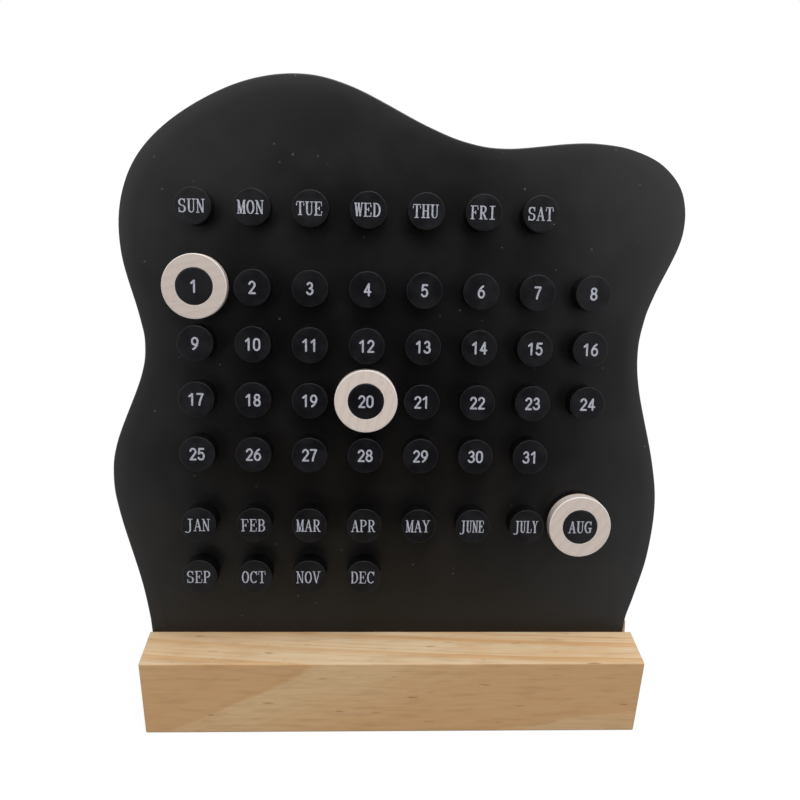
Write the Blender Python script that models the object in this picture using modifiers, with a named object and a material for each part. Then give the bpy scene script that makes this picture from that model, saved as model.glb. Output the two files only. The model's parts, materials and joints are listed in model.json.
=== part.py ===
"""Perpetual desk calendar. A wavy board carries one round peg for each weekday, date and month. It
leans back in the slot of a wooden block, and three loose rings hang on the pegs that give the day.

World axes: X along the block, Y to the back, Z up, with the origin in the middle of the block's
underside. The board has axes of its own, held by an empty: X along the block, Y up the board and Z out
of its front face."""

from math import cos, pi, radians, sin

import bmesh
import bpy
from mathutils import Matrix, Vector

MM = 0.001

# Wooden block, with a slot along its whole length. It ends a little beyond the board's foot.
BASE_OVERHANG = 1.75 * MM
BASE_DEPTH = 48.0 * MM
BASE_HEIGHT = 32.0 * MM
BASE_EDGE = 0.6 * MM
SLOT_SETBACK = 18.0 * MM
SLOT_DEPTH = 16.0 * MM

# Clearance that the board, the pegs' ends and the rings keep from what they rest against
FIT_GAP = 0.3 * MM
# How far every cutter passes the face that it opens
CUT_OVERRUN = 2.0 * MM
# Points closer than this are one point
WELD = 0.001 * MM

# Board
BOARD_THICKNESS = 6.0 * MM
BOARD_LEAN = radians(13.0)
FOOT_SIDE_SHIFT = -1.15 * MM
TONGUE_CORNER = 3.0 * MM
LEFT_MARGIN = 32.1 * MM
RIGHT_MARGIN = 33.9 * MM
TOP_MARGIN = 45.7 * MM
BOTTOM_MARGIN = 24.8 * MM

# Peg grid, with the clear space between two pegs that are neighbours in a row or in a column
COLUMN_GAP = 7.3 * MM
ROW_GAP = 7.1 * MM
WEEKDAY_ROW_RISE = 27.2 * MM
MONTH_ROW_DROP = 26.3 * MM
COLUMNS = 8

# Pegs, seated in blind holes that leave a skin at the board's back
PEG_DIAMETER = 12.7 * MM
PEG_HEIGHT = 7.5 * MM
PEG_EDGE = 0.5 * MM
PEG_SIDE_GAP = 0.25 * MM
BOARD_SKIN = 1.5 * MM
PEG_SIDES = 20

# Rings, a snug fit on the pegs and almost flush with the pegs' ends
RING_THICKNESS = 5.0 * MM
RING_EDGE = 0.5 * MM
RING_SLACK = 0.15 * MM
RING_INSET = 0.1 * MM
RING_WALL = 5.0 * MM
RING_SIDES = 36

# Edges that turn by more than this are shaded sharp
SHARP_TURN = radians(30.0)

WEEKDAYS = ("sun", "mon", "tue", "wed", "thu", "fri", "sat")
DATES = tuple(f"{day:02d}" for day in range(1, 32))
MONTHS = ("jan", "feb", "mar", "apr", "may", "june", "july", "aug", "sep", "oct", "nov", "dec")
MARKED = ("01", "20", "aug")

# The wavy edge, from the foot at the left over the top to the foot at the right. Each pair is a share of
# the board's width from its left side and of its height above the block.
EDGE_SHARES = (
    (0.0599, 0.000),
    (0.0555, 0.037),
    (0.0419, 0.106),
    (0.0098, 0.226),
    (0.0000, 0.294),
    (0.0090, 0.362),
    (0.0529, 0.478),
    (0.0619, 0.537),
    (0.0531, 0.590),
    (0.0263, 0.695),
    (0.0276, 0.784),
    (0.0597, 0.863),
    (0.1273, 0.929),
    (0.2268, 0.982),
    (0.3252, 1.000),
    (0.4163, 0.982),
    (0.5419, 0.922),
    (0.6151, 0.895),
    (0.6845, 0.887),
    (0.7893, 0.898),
    (0.8442, 0.899),
    (0.9011, 0.890),
    (0.9564, 0.864),
    (0.9935, 0.815),
    (0.9965, 0.741),
    (0.9563, 0.643),
    (0.9402, 0.595),
    (0.9322, 0.537),
    (0.9399, 0.464),
    (0.9721, 0.334),
    (0.9832, 0.248),
    (0.9751, 0.152),
    (0.9557, 0.074),
    (0.9432, 0.031),
    (0.9389, 0.000),
)
EDGE_STEPS = 6

# Sizes that follow from those above
COLUMN_PITCH = PEG_DIAMETER + COLUMN_GAP
ROW_PITCH = PEG_DIAMETER + ROW_GAP
DATE_ROWS = -(-len(DATES) // COLUMNS)
MONTH_ROWS = -(-len(MONTHS) // COLUMNS)
MONTH_ROW_HEIGHT = BOTTOM_MARGIN + (MONTH_ROWS - 1) * ROW_PITCH
DATE_ROW_HEIGHT = MONTH_ROW_HEIGHT + MONTH_ROW_DROP + (DATE_ROWS - 1) * ROW_PITCH
WEEKDAY_ROW_HEIGHT = DATE_ROW_HEIGHT + WEEKDAY_ROW_RISE
BOARD_WIDTH = LEFT_MARGIN + (COLUMNS - 1) * COLUMN_PITCH + RIGHT_MARGIN
BOARD_HEIGHT = WEEKDAY_ROW_HEIGHT + TOP_MARGIN
FOOT_LEFT_SHARE = EDGE_SHARES[0][0]
FOOT_RIGHT_SHARE = EDGE_SHARES[-1][0]
BOARD_LEFT = FOOT_SIDE_SHIFT - BOARD_WIDTH * (FOOT_LEFT_SHARE + FOOT_RIGHT_SHARE) / 2
BASE_LENGTH = BOARD_WIDTH * (FOOT_RIGHT_SHARE - FOOT_LEFT_SHARE) + 2 * BASE_OVERHANG
SLOT_WIDTH = BOARD_THICKNESS + 2 * FIT_GAP
TONGUE_DEPTH = SLOT_DEPTH - FIT_GAP
PEG_HOLE_DEPTH = BOARD_THICKNESS - BOARD_SKIN
RING_HOLE = PEG_DIAMETER + 2 * RING_SLACK
RING_DIAMETER = RING_HOLE + 2 * RING_WALL
RING_SAG = max(RING_SLACK - FIT_GAP, 0.0)
RING_STANDOFF = max(PEG_HEIGHT - RING_INSET - RING_THICKNESS, FIT_GAP)


def clear_scene():
    for obj in list(bpy.data.objects):
        bpy.data.objects.remove(obj, do_unlink=True)


def new_collection(name):
    collection = bpy.data.collections.new(name)
    bpy.context.scene.collection.children.link(collection)
    return collection


def painted(name, colour, roughness):
    material = bpy.data.materials.new(name)
    material.use_nodes = True
    shader = material.node_tree.nodes["Principled BSDF"]
    shader.inputs["Base Color"].default_value = (*colour, 1.0)
    shader.inputs["Roughness"].default_value = roughness
    shader.inputs["Metallic"].default_value = 0.0
    material.diffuse_color = (*colour, 1.0)
    return material


def add_object(name, data, collection, parent=None, location=(0.0, 0.0, 0.0)):
    obj = bpy.data.objects.new(name, data)
    collection.objects.link(obj)
    obj.parent = parent
    obj.location = location
    return obj


def add_cutter(name, mesh, parent=None):
    cutter = add_object(name, mesh, CUTTERS, parent=parent)
    cutter.hide_render = True
    cutter.display_type = "WIRE"
    return cutter


def cut(obj, cutter):
    modifier = obj.modifiers.new(cutter.name, "BOOLEAN")
    modifier.operation = "DIFFERENCE"
    modifier.solver = "EXACT"
    modifier.object = cutter


def box_mesh(name, size, centre):
    bm = bmesh.new()
    bmesh.ops.create_cube(bm, size=1.0, matrix=Matrix.Translation(centre) @ Matrix.Diagonal((*size, 1.0)))
    mesh = bpy.data.meshes.new(name)
    bm.to_mesh(mesh)
    bm.free()
    return mesh


def finished_mesh(maker, name, material):
    """The maker object's solid as one welded mesh, smooth but at its sharp edges. The maker is removed."""
    graph = bpy.context.evaluated_depsgraph_get()
    mesh = bpy.data.meshes.new_from_object(maker.evaluated_get(graph))
    bm = bmesh.new()
    bm.from_mesh(mesh)
    bmesh.ops.remove_doubles(bm, verts=bm.verts, dist=WELD)
    bm.to_mesh(mesh)
    bm.free()
    mesh.name = name
    mesh.materials.append(material)
    mesh.shade_smooth()
    mesh.set_sharp_from_angle(angle=SHARP_TURN)
    bpy.data.objects.remove(maker, do_unlink=True)
    return mesh


def turned(name, profile, closed, sides):
    """A shape turned about its own Z axis. The profile lies in the XZ plane and runs down the outer side."""
    count = len(profile)
    ends = range(count if closed else count - 1)
    mesh = bpy.data.meshes.new(name)
    points = [(radius, 0.0, height) for radius, height in profile]
    mesh.from_pydata(points, [(i, (i + 1) % count) for i in ends], [])
    obj = add_object(name, mesh, PARTS)
    screw = obj.modifiers.new("Turn", "SCREW")
    screw.steps = sides
    screw.render_steps = sides
    screw.use_merge_vertices = True
    screw.merge_threshold = WELD
    return obj


def peg_places():
    """Each peg's name with its place on the board's face."""
    first = BOARD_LEFT + LEFT_MARGIN
    rows = (
        (WEEKDAYS, WEEKDAY_ROW_HEIGHT),
        (DATES, DATE_ROW_HEIGHT),
        (MONTHS, MONTH_ROW_HEIGHT),
    )
    places = {}
    for names, height in rows:
        for index, name in enumerate(names):
            row, column = divmod(index, COLUMNS)
            places[name] = (first + column * COLUMN_PITCH, height - row * ROW_PITCH)
    return places


def make_base(material):
    size = (BASE_LENGTH, BASE_DEPTH, BASE_HEIGHT)
    mesh = box_mesh("base_block", size, (0.0, 0.0, BASE_HEIGHT / 2))
    mesh.materials.append(material)
    block = add_object("base_block", mesh, PARTS)
    bevel = block.modifiers.new("Eased edges", "BEVEL")
    bevel.width = BASE_EDGE
    bevel.segments = 2
    height = SLOT_DEPTH + CUT_OVERRUN
    slot = box_mesh(
        "slot_cutter",
        (BASE_LENGTH + 2 * CUT_OVERRUN, height, SLOT_WIDTH),
        (0.0, height / 2 - SLOT_DEPTH, -BOARD_THICKNESS / 2),
    )
    cut(block, add_cutter("slot_cutter", slot, BOARD_FRAME))


def edge_points():
    """The wavy edge's knots on the board's face, from foot to foot."""
    return [Vector((BOARD_LEFT + x * BOARD_WIDTH, y * BOARD_HEIGHT, 0.0)) for x, y in EDGE_SHARES]


def board_outline():
    """The board's flat outline: the wavy edge, then round the tongue that stands in the slot."""
    edge = edge_points()
    right, left = edge[-1], edge[0]
    low = -TONGUE_DEPTH
    tongue = [
        Vector((right.x, low + TONGUE_CORNER, 0.0)),
        Vector((right.x - TONGUE_CORNER, low, 0.0)),
        Vector((left.x + TONGUE_CORNER, low, 0.0)),
        Vector((left.x, low + TONGUE_CORNER, 0.0)),
    ]
    curve = bpy.data.curves.new("board_outline", "CURVE")
    curve.dimensions = "2D"
    curve.fill_mode = "BOTH"
    curve.extrude = BOARD_THICKNESS / 2
    curve.resolution_u = EDGE_STEPS
    spline = curve.splines.new("BEZIER")
    spline.use_cyclic_u = True
    knots = edge + tongue
    spline.bezier_points.add(len(knots) - 1)
    for index, (point, knot) in enumerate(zip(spline.bezier_points, knots)):
        point.co = knot
        point.handle_left_type = "VECTOR"
        point.handle_right_type = "VECTOR"
        if 0 < index < len(edge) - 1:
            lean = (edge[index + 1] - edge[index - 1]) / 6
            point.handle_left_type = "FREE"
            point.handle_right_type = "FREE"
            point.handle_left = knot - lean
            point.handle_right = knot + lean
    return add_object("board_outline", curve, PARTS)


def peg_hole_mesh(places):
    bm = bmesh.new()
    radius = PEG_DIAMETER / 2 + PEG_SIDE_GAP
    depth = PEG_HOLE_DEPTH + CUT_OVERRUN
    for x, y in places.values():
        bmesh.ops.create_cone(
            bm,
            cap_ends=True,
            segments=PEG_SIDES,
            radius1=radius,
            radius2=radius,
            depth=depth,
            matrix=Matrix.Translation((x, y, depth / 2 - PEG_HOLE_DEPTH)),
        )
    mesh = bpy.data.meshes.new("peg_holes")
    bm.to_mesh(mesh)
    bm.free()
    return mesh


def make_board(places, material):
    mesh = finished_mesh(board_outline(), "calendar_board", material)
    board = add_object("calendar_board", mesh, PARTS, BOARD_FRAME, (0.0, 0.0, -BOARD_THICKNESS / 2))
    cut(board, add_cutter("peg_holes", peg_hole_mesh(places), BOARD_FRAME))


def make_pegs(places, material):
    """One peg for each place. All of them share one mesh."""
    radius = PEG_DIAMETER / 2
    foot = FIT_GAP - PEG_HOLE_DEPTH
    profile = (
        (0.0, PEG_HEIGHT),
        (radius - PEG_EDGE, PEG_HEIGHT),
        (radius, PEG_HEIGHT - PEG_EDGE),
        (radius, foot),
        (0.0, foot),
    )
    mesh = finished_mesh(turned("peg", profile, False, PEG_SIDES), "peg", material)
    for name, (x, y) in places.items():
        add_object(f"peg_{name}", mesh, PARTS, BOARD_FRAME, (x, y, 0.0))


def make_rings(places, material):
    """One ring for each marked peg. It hangs on the peg by the top of its hole."""
    outer, inner = RING_DIAMETER / 2, RING_HOLE / 2
    profile = (
        (outer - RING_EDGE, RING_THICKNESS),
        (outer, RING_THICKNESS - RING_EDGE),
        (outer, RING_EDGE),
        (outer - RING_EDGE, 0.0),
        (inner, 0.0),
        (inner, RING_THICKNESS),
    )
    mesh = finished_mesh(turned("marker_ring", profile, True, RING_SIDES), "marker_ring", material)
    for name in MARKED:
        x, y = places[name]
        add_object(f"marker_ring_{name}", mesh, PARTS, BOARD_FRAME, (x, y - RING_SAG, RING_STANDOFF))


def make_board_frame():
    """The empty that holds the board's axes, on its front face where it leaves the block."""
    frame = bpy.data.objects.new("board_frame", None)
    PARTS.objects.link(frame)
    face_setback = SLOT_SETBACK + FIT_GAP / cos(BOARD_LEAN)
    frame.location = (0.0, face_setback - BASE_DEPTH / 2, BASE_HEIGHT)
    frame.rotation_euler = (pi / 2 - BOARD_LEAN, 0.0, 0.0)
    return frame


def main():
    pine = painted("pine", (0.55, 0.37, 0.19), 0.6)
    black_board = painted("black_board", (0.012, 0.011, 0.010), 0.5)
    black_peg = painted("black_peg", (0.011, 0.011, 0.014), 0.45)
    pale_wood = painted("pale_wood", (0.62, 0.52, 0.42), 0.65)
    places = peg_places()
    make_base(pine)
    make_board(places, black_board)
    make_pegs(places, black_peg)
    make_rings(places, pale_wood)


clear_scene()
PARTS = new_collection("Perpetual desk calendar")
CUTTERS = new_collection("Cutters")
BOARD_FRAME = make_board_frame()
main()
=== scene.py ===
"""Looks of a perpetual desk calendar, laid out as a Blender add-on and run as a script.

A wavy black board leans back in the slot of a pine block. Round pegs carry the weekdays, dates and
months, and three loose rings of pale wood mark the day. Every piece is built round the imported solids,
in metres, with +X along the block, +Y to the back and +Z up. On the board a point is given as side, up
and out: along the block, up the board, and out of its front face."""

import json
from math import cos, hypot, pi, radians, sin, tau

import bmesh
import bpy
from mathutils import Euler, Matrix, Vector
from mathutils.geometry import delaunay_2d_cdt

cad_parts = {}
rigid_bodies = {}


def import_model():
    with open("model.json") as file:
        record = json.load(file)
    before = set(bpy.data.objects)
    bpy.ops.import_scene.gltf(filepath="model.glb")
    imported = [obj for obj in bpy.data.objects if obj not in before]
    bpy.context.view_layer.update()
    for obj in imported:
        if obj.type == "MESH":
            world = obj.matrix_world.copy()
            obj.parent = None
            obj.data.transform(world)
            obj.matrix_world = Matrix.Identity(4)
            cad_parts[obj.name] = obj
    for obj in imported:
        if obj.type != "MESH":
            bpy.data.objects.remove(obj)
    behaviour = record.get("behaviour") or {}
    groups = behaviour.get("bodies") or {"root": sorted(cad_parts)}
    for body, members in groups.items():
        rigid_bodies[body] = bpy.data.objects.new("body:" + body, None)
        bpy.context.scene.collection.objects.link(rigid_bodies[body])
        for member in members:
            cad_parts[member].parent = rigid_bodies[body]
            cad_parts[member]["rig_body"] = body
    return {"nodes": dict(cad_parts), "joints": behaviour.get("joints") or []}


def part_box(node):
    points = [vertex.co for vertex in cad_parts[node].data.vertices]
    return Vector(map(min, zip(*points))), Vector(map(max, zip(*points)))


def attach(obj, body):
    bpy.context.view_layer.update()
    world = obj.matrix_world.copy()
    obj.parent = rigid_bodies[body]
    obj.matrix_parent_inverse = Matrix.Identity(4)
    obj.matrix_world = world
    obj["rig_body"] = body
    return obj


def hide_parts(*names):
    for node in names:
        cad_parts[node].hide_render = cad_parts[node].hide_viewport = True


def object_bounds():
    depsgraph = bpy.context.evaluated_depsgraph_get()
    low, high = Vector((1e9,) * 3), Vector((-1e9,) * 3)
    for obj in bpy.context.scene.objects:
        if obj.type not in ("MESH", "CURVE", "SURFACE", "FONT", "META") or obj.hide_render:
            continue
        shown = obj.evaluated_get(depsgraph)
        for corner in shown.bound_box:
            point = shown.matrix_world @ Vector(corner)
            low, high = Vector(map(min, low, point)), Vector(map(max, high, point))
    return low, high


bl_info = {
    "name": "Perpetual desk calendar",
    "version": (1, 0, 0),
    "blender": (4, 5, 0),
    "location": "3D View > Sidebar > Desk calendar",
    "description": "Builds the board, pegs, print, rings and block of a perpetual desk calendar",
    "category": "Object",
}

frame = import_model()
CAD_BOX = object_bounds()

MM = 0.001
TOUCH = 0.001 * MM

BOARD = "calendar_board"
BLOCK = "base_block"
PEG_START = "peg_"
RING_START = "marker_ring_"


def joint_axis(name):
    return Vector(next(joint["axis"] for joint in frame["joints"] if joint["name"] == name)).normalized()


UP = joint_axis("board_lift")
OUT = joint_axis("ring_01_slide")
SIDE = UP.cross(OUT)
FROM_BOARD = Matrix((SIDE, UP, OUT)).transposed().to_4x4()
TO_BOARD = FROM_BOARD.inverted()


def board_span(node):
    """The lowest and highest side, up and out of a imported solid."""
    points = [TO_BOARD @ vertex.co for vertex in frame["nodes"][node].data.vertices]
    low = Vector(min(point[axis] for point in points) for axis in range(3))
    high = Vector(max(point[axis] for point in points) for axis in range(3))
    return low, high


def nodes_from(start):
    return sorted(name for name in frame["nodes"] if name.startswith(start))


BOARD_LOW, BOARD_HIGH = board_span(BOARD)
BOARD_FACE = BOARD_HIGH.z


# Sizes and colours that a user would change


def number(name, description, value, **limits):
    return bpy.props.FloatProperty(name=name, description=description, default=value, **limits)


def length(name, description, size):
    return number(name, description, size, min=0.0, unit="LENGTH")


def share(name, description, value):
    return number(name, description, value, min=0.0, max=1.0, subtype="FACTOR")


def colour(name, description, value):
    return bpy.props.FloatVectorProperty(
        name=name, description=description, default=value, size=3, min=0.0, max=1.0, subtype="COLOR"
    )


def power(name, description, watts):
    return number(name, description, watts, unit="POWER")


class BlockLook(bpy.types.PropertyGroup):
    """The pine block."""

    edge: length("Eased edge", "Rounding of the block's long edges and ends", 0.6 * MM)
    slot_edge: length("Slot edge", "Rounding along the slot's mouth", 0.15 * MM)
    ring_width: length("Ring width", "Distance between two growth rings", 9.0 * MM)
    early_wood: colour("Early wood", "Pale part of a growth ring", (0.617, 0.467, 0.298))
    # Painted shade: the front and back take this warmer early wood, standing in for the warmer, dimmer
    # light that falls on them.
    flat_wood: colour("Flat-sawn early wood", "The same on the front and back", (0.662, 0.486, 0.282))
    late_wood: colour("Late wood", "Dark part of a growth ring", (0.542, 0.322, 0.149))
    duct: colour("Resin ducts", "Short dark streaks and pin knots", (0.27, 0.13, 0.045))
    # Painted shade: this grey darkens the block's lowest edge and the vertical corners at its right end,
    # standing in for the contact shadow and the shade that falls there.
    grime: colour("Grime", "Painted grey shade at the lowest edge and the right end's corner", (0.15, 0.125, 0.10))
    roughness: share("Roughness", "Roughness of the sanded wood", 0.62)


class BoardLook(bpy.types.PropertyGroup):
    """The wavy board."""

    edge: length("Eased edge", "Rounding of the board's sawn edge", 0.45 * MM)
    crown: length("Crown", "How far the painted face falls away at its rim", 0.12 * MM)
    crown_reach: length("Crown reach", "How far from the rim the face starts to fall away", 5.0 * MM)
    paint: colour("Paint", "Black paint of the board", (0.0034, 0.0029, 0.0030))
    dust: colour("Dust", "Pale specks that lie on the paint", (0.052, 0.05, 0.048))
    roughness: share("Roughness", "Roughness of the satin paint", 0.315)
    specular: share("Specular", "Strength of the paint's reflection", 0.40)


class PegLook(bpy.types.PropertyGroup):
    """The round pegs."""

    edge: length("Chamfer", "Width of the chamfer round a peg's face", 0.18 * MM)
    easing: length("Easing", "Rounding of the chamfer's two edges", 0.06 * MM)
    paint: colour("Paint", "Bluish black paint of the pegs' faces", (0.0028, 0.0028, 0.0042))
    dust: colour("Dust", "Pale specks on the pegs", (0.2, 0.2, 0.2))
    # Painted shade: the pegs' sides are given a deeper black than their faces, standing in for the shade on
    # them.
    side_paint: colour("Side paint", "Deeper black of the pegs' sides", (0.0004, 0.0004, 0.0005))
    roughness: share("Roughness", "Roughness of the peg paint", 0.36)
    specular: share("Specular", "Strength of the paint's reflection", 0.3)


class PrintLook(bpy.types.PropertyGroup):
    """The print on the pegs' faces."""

    ink: colour("Ink", "Cool grey-white ink", (0.43, 0.44, 0.51))
    thickness: length("Ink thickness", "How far the ink stands above the peg's face", 0.03 * MM)
    number_height: length("Number height", "Height of a printed date", 4.6 * MM)
    number_width: length("Number width", "Width of one digit", 2.6 * MM)
    number_pen: length("Number pen", "Stroke width of a digit", 0.67 * MM)
    number_gap: length("Number gap", "Space between two digits", 0.28 * MM)
    weekday_height: length("Weekday height", "Height of a weekday's capitals", 4.65 * MM)
    month_height: length("Month height", "Height of a month's capitals", 4.6 * MM)
    weekday_width: length("Weekday width", "Width of a printed weekday", 9.25 * MM)
    month_width: length("Month width", "Width of a printed month", 9.0 * MM)
    word_shift: length("Word shift", "How far the words sit left of the peg's middle", 0.3 * MM)
    weekday_stem: length("Weekday stem", "Width of the thick strokes of a weekday", 0.6 * MM)
    month_stem: length("Month stem", "Width of the thick strokes of a month", 0.52 * MM)
    weekday_hair: length("Weekday hairline", "Width of the thin strokes of a weekday", 0.31 * MM)
    month_hair: length("Month hairline", "Width of the thin strokes of a month", 0.26 * MM)
    roughness: share("Roughness", "Roughness of the ink", 0.5)


class RingLook(bpy.types.PropertyGroup):
    """The marker rings."""

    edge: length("Outer chamfer", "Width of the chamfers round the ring", 0.32 * MM)
    bore_edge: length("Bore edge", "Width of the chamfers at the hole", 0.15 * MM)
    easing: length("Easing", "Rounding of the chamfers' edges", 0.06 * MM)
    ring_width: length("Ring width", "Distance between two growth rings of the wood", 3.2 * MM)
    early_wood: colour("Early wood", "Pale part of the wood", (0.63, 0.545, 0.495))
    late_wood: colour("Late wood", "Slightly darker part of the wood", (0.59, 0.50, 0.44))
    duct: colour("Resin ducts", "Short dark streaks in the wood", (0.34, 0.22, 0.14))
    roughness: share("Roughness", "Roughness of the sanded wood", 0.55)


class StageLook(bpy.types.PropertyGroup):
    """The floor, lamps and camera."""

    floor: colour("Floor", "Colour of the floor", (0.5, 0.5, 0.5))
    shadow: colour("Shadow", "Grey that the seen floor adds where no shadow falls", (0.12, 0.12, 0.12))
    mat: colour("Mat", "Colour of the mat in front that the board reflects", (0.60, 0.49, 0.33))
    fill: share("Fill", "Light that comes from all round", 0.4)
    key: power("Key", "Power of the lamp overhead", 8.2)
    side: power("Side", "Power of each lamp in front", 0.9)
    focal_length: number("Focal length", "Focal length on a 36 mm wide sensor", 36.27, unit="CAMERA")


LOOKS = {
    "calendar_block": BlockLook,
    "calendar_board": BoardLook,
    "calendar_pegs": PegLook,
    "calendar_print": PrintLook,
    "calendar_rings": RingLook,
    "calendar_stage": StageLook,
}


# Node trees


ORIGIN = (0.0, 0.0, 0.0)


class Graph:
    """Short ways to lay out the nodes of a material or a group."""

    def __init__(self, tree):
        self.tree = tree

    def feed(self, sockets, values):
        """Each named socket is linked to another socket, or set to a plain value."""
        for name, value in values.items():
            if isinstance(value, bpy.types.NodeSocket):
                self.tree.links.new(value, sockets[name])
            else:
                sockets[name].default_value = value

    def node(self, kind, inputs=None, **settings):
        """A new node's outputs."""
        made = self.tree.nodes.new(f"ShaderNode{kind}")
        for name, value in settings.items():
            setattr(made, name, value)
        self.feed(made.inputs, inputs or {})
        return made.outputs

    def math(self, operation, *values):
        return self.node("Math", dict(enumerate(values)), operation=operation)[0]

    def times(self, first, second):
        return self.math("MULTIPLY", first, second)

    def total(self, first, *others):
        for other in others:
            first = self.math("ADD", first, other)
        return first

    def vector(self, operation, *values):
        return self.node("VectorMath", dict(enumerate(values)), operation=operation)["Vector"]

    def scaled(self, vector, *factors):
        return self.vector("MULTIPLY", vector, factors)

    def span(self, vector):
        return self.node("VectorMath", {0: vector}, operation="LENGTH")["Value"]

    def axes(self, vector):
        return self.node("SeparateXYZ", {"Vector": vector})

    def facing_out(self):
        """How squarely the surface faces out of the board: 1 on a peg's face, 0 on its side."""
        normal = self.node("TexCoord")["Normal"]
        return self.node("VectorMath", {0: normal, 1: OUT}, operation="DOT_PRODUCT")["Value"]

    def remap(self, value, low, high, to_low=0.0, to_high=1.0):
        inputs = {"Value": value, "From Min": low, "From Max": high, "To Min": to_low, "To Max": to_high}
        return self.node("MapRange", inputs, interpolation_type="SMOOTHSTEP")["Result"]

    def between(self, value, rise, fall):
        """1 between the two ranges, with a soft step across each."""
        return self.times(self.remap(value, *rise), self.remap(value, *fall, 1.0, 0.0))

    def blend(self, amount, first, second):
        """The first colour, or the second where the amount is 1."""
        return self.node("Mix", {0: amount, 6: first, 7: second}, data_type="RGBA")[2]

    def noise(self, vector, scale, detail=2.0, roughness=0.5, output="Fac"):
        inputs = {"Vector": vector, "Scale": scale, "Detail": detail, "Roughness": roughness}
        return self.node("TexNoise", inputs)[output]

    def cells(self, vector, scale):
        """A cell pattern's distance from the cell's middle, and the cell's own random value."""
        made = self.node("TexVoronoi", {"Vector": vector, "Scale": scale})
        return made["Distance"], self.node("SeparateColor", {"Color": made["Color"]})["Red"]

    def bump(self, height, strength, depth):
        return self.node("Bump", {"Height": height, "Strength": strength, "Distance": depth})["Normal"]

    def group(self, name, inputs):
        return self.node("Group", inputs, node_tree=bpy.data.node_groups[name])

    def mottle(self, place, patch, grit):
        return self.group("Mottle", {"Vector": place, "Patch": patch, "Grit": grit})

    def specks(self, place, spacing, amount, size):
        inputs = {"Vector": place, "Spacing": spacing, "Share": amount, "Size": size}
        return self.group("Specks", inputs)["Mask"]

    def dress(self, shader, colour, rough, specular, **others):
        """What the surface shader of a material is given."""
        values = {"Base Color": colour, "Roughness": rough, "Specular IOR Level": specular}
        self.feed(shader.inputs, {**values, **others})


def rgba(value):
    return (*value, 1.0)


def new_group(name, inputs, outputs):
    """An empty node group that takes a place and the named inputs. Gives its graph and both its ends."""
    tree = bpy.data.node_groups.new(name, "ShaderNodeTree")
    for label, value in {"Vector": ORIGIN, **inputs}.items():
        kind = "NodeSocketVector" if isinstance(value, tuple) else "NodeSocketFloat"
        socket = tree.interface.new_socket(name=label, in_out="INPUT", socket_type=kind)
        socket.default_value = value
    for label in outputs:
        tree.interface.new_socket(name=label, in_out="OUTPUT", socket_type="NodeSocketFloat")
    start = tree.nodes.new("NodeGroupInput").outputs
    end = tree.nodes.new("NodeGroupOutput").inputs
    return Graph(tree), start, end


def make_mottle_group():
    """Slow and fine unevenness of a surface."""
    graph, start, end = new_group("Mottle", {"Patch": 0.02, "Grit": 0.0006}, ("Patches", "Grit"))
    patches = graph.noise(start["Vector"], graph.math("DIVIDE", 1.0, start["Patch"]), 4.0, 0.55)
    grit = graph.noise(start["Vector"], graph.math("DIVIDE", 1.0, start["Grit"]), 3.0, 0.6)
    graph.feed(end, {"Patches": patches, "Grit": grit})


def make_speck_group():
    """Small round specks, scattered over a part of the cells of a pattern."""
    graph, start, end = new_group("Specks", {"Spacing": 0.01, "Share": 0.5, "Size": 0.1}, ("Mask",))
    wobble = graph.noise(start["Vector"], 900.0, 1.0)
    distance, pick = graph.cells(start["Vector"], graph.math("DIVIDE", 1.0, start["Spacing"]))
    size = graph.times(start["Size"], graph.remap(wobble, 0.3, 0.7, 0.5, 1.4))
    inside = graph.math("LESS_THAN", distance, size)
    chosen = graph.math("LESS_THAN", pick, start["Share"])
    graph.feed(end, {"Mask": graph.times(inside, chosen)})


def make_wood_group():
    """Growth rings round a pith line that runs near the X axis, with fibres and short ducts along it."""
    graph, start, end = new_group(
        "Wood figure",
        {
            "Pith": ORIGIN,
            "Drift": 0.0,
            "Bend": 0.0,
            "Ring width": 0.005,
            "Waver": 0.001,
            "Late from": 0.2,
            "Late to": 0.94,
        },
        ("Growth", "Ring tone", "Streaks", "Fibres", "Ducts"),
    )
    place = start["Vector"]
    along = graph.axes(graph.vector("SUBTRACT", place, start["Pith"]))
    bend = graph.total(start["Drift"], graph.times(along["X"], start["Bend"]))
    depth = graph.math("SUBTRACT", along["Y"], graph.times(along["X"], bend))
    squares = graph.total(graph.times(depth, depth), graph.times(along["Z"], along["Z"]))
    reach = graph.math("SQRT", squares)
    sway = graph.math("SUBTRACT", graph.noise(graph.scaled(place, 9.0, 30.0, 30.0), 1.0), 0.5)
    reach = graph.total(reach, graph.times(sway, start["Waver"]))
    count = graph.math("DIVIDE", reach, start["Ring width"])
    late = (start["Late from"], start["Late to"])
    growth = graph.between(graph.math("FRACT", count), late, (0.965, 1.0))
    tone = graph.node("TexWhiteNoise", {"W": graph.math("FLOOR", count)}, noise_dimensions="1D")["Value"]
    layers = graph.node("CombineXYZ", {"X": graph.times(along["X"], 9.0), "Y": graph.times(reach, 850.0)})
    bent = graph.vector("SUBTRACT", graph.noise(place, 330.0, output="Color"), (0.5, 0.5, 0.5))
    bent = graph.scaled(bent, 0.5, 1.1, 1.1)
    short = graph.scaled(place, 150.0, 900.0, 900.0)
    distance, pick = graph.cells(graph.vector("ADD", short, bent), 1.0)
    rare = graph.remap(pick, 0.0, 0.07, 1.0, 0.0)
    ducts = graph.times(graph.remap(distance, 0.1, 0.48, 1.0, 0.0), rare)
    streaks = graph.noise(layers["Vector"], 1.0, 3.0, 0.6)
    fibres = graph.noise(graph.scaled(place, 70.0, 2400.0, 2400.0), 1.0, 3.0, 0.6)
    graph.feed(end, {"Growth": growth, "Ring tone": tone, "Streaks": streaks})
    graph.feed(end, {"Fibres": fibres, "Ducts": ducts})


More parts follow.
